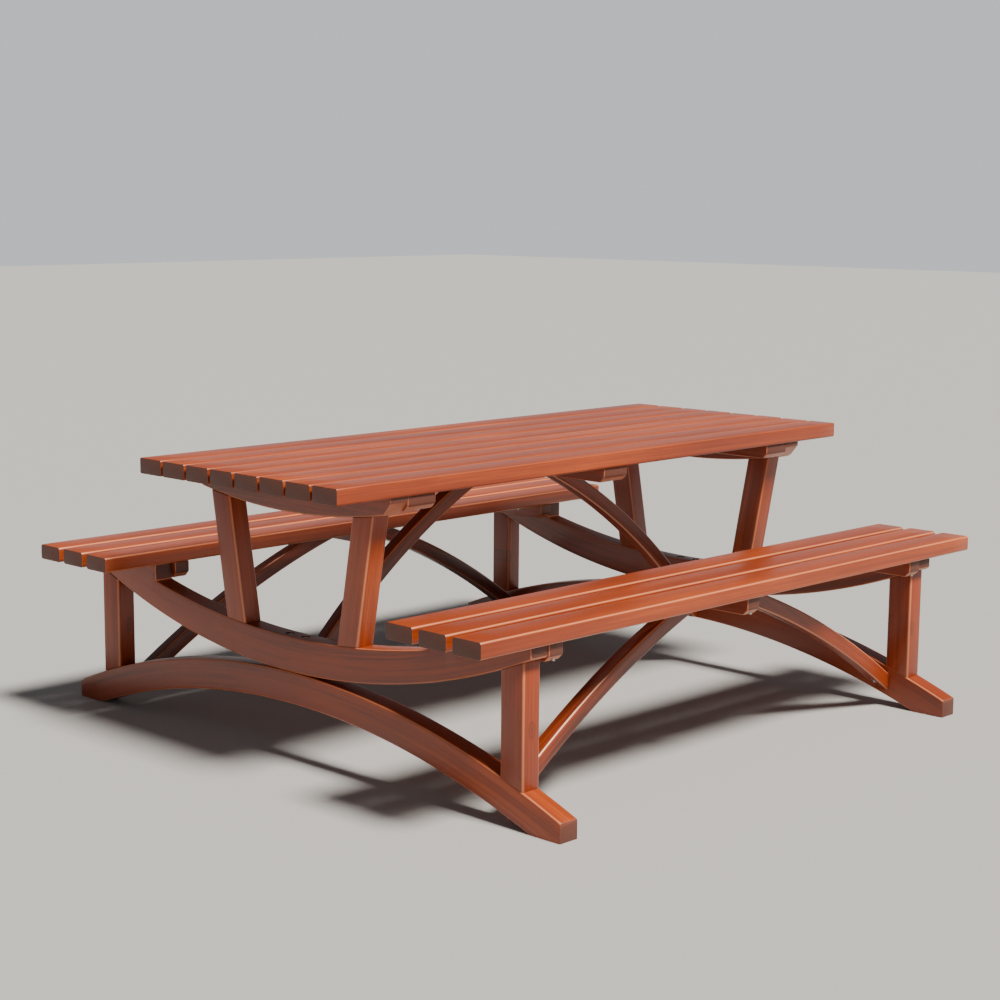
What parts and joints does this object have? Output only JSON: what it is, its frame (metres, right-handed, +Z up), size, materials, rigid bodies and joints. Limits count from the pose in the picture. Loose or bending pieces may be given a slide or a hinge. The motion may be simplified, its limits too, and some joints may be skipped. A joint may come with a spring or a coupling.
{
  "type": "picnic table",
  "caption": "Timber picnic table with two attached benches on curved end frames, tied together by bowed diagonal braces.",
  "frame": {"origin": "on the ground, under the middle of the table top", "axes": "+X along the boards, +Y across the table from the front bench to the rear bench, +Z up"},
  "size_m": [2, 1.87, 0.766],
  "materials": {
    "top_timber": "semi-gloss red-brown exterior stain",
    "bench_timber": "semi-gloss red-brown exterior stain",
    "cleat_timber": "semi-gloss red-brown exterior stain",
    "brace_timber": "semi-gloss red-brown exterior stain",
    "frame_timber": "semi-gloss red-brown exterior stain",
    "zinc_fixings": "zinc plated"
  },
  "bodies": {
    "root": {"bench_brace_foot_screws": "zinc_fixings", "bench_brace_head_screws": "zinc_fixings", "centre_bolts": "zinc_fixings", "centre_nuts": "zinc_fixings", "centre_washers": "zinc_fixings", "front_brace_left": "brace_timber", "front_brace_right": "brace_timber", "front_seat_board_1": "bench_timber", "front_seat_board_2": "bench_timber", "front_seat_board_3": "bench_timber", "front_seat_cleat_left": "cleat_timber", "front_seat_cleat_middle": "cleat_timber", "front_seat_cleat_right": "cleat_timber", "left_arch": "frame_timber", "left_front_leg": "frame_timber", "left_front_post": "frame_timber", "left_rear_leg": "frame_timber", "left_rear_post": "frame_timber", "left_seat_beam": "frame_timber", "left_table_beam": "frame_timber", "leg_foot_screws": "zinc_fixings", "leg_head_screws": "zinc_fixings", "post_foot_screws": "zinc_fixings", "post_head_screws": "zinc_fixings", "rear_brace_left": "brace_timber", "rear_brace_right": "brace_timber", "rear_seat_board_1": "bench_timber", "rear_seat_board_2": "bench_timber", "rear_seat_board_3": "bench_timber", "rear_seat_cleat_left": "cleat_timber", "rear_seat_cleat_middle": "cleat_timber", "rear_seat_cleat_right": "cleat_timber", "right_arch": "frame_timber", "right_front_leg": "frame_timber", "right_front_post": "frame_timber", "right_rear_leg": "frame_timber", "right_rear_post": "frame_timber", "right_seat_beam": "frame_timber", "right_table_beam": "frame_timber", "seat_board_screws": "zinc_fixings", "seat_cleat_screws": "zinc_fixings", "table_brace_foot_screws": "zinc_fixings", "table_brace_head_screws": "zinc_fixings", "table_brace_left": "brace_timber", "table_brace_right": "brace_timber", "table_cleat_left": "cleat_timber", "table_cleat_middle": "cleat_timber", "table_cleat_right": "cleat_timber", "table_cleat_screws": "zinc_fixings", "top_board_1": "top_timber", "top_board_2": "top_timber", "top_board_3": "top_timber", "top_board_4": "top_timber", "top_board_5": "top_timber", "top_board_6": "top_timber", "top_board_7": "top_timber", "top_board_8": "top_timber", "top_board_screws": "zinc_fixings"}
  },
  "joints": []
}
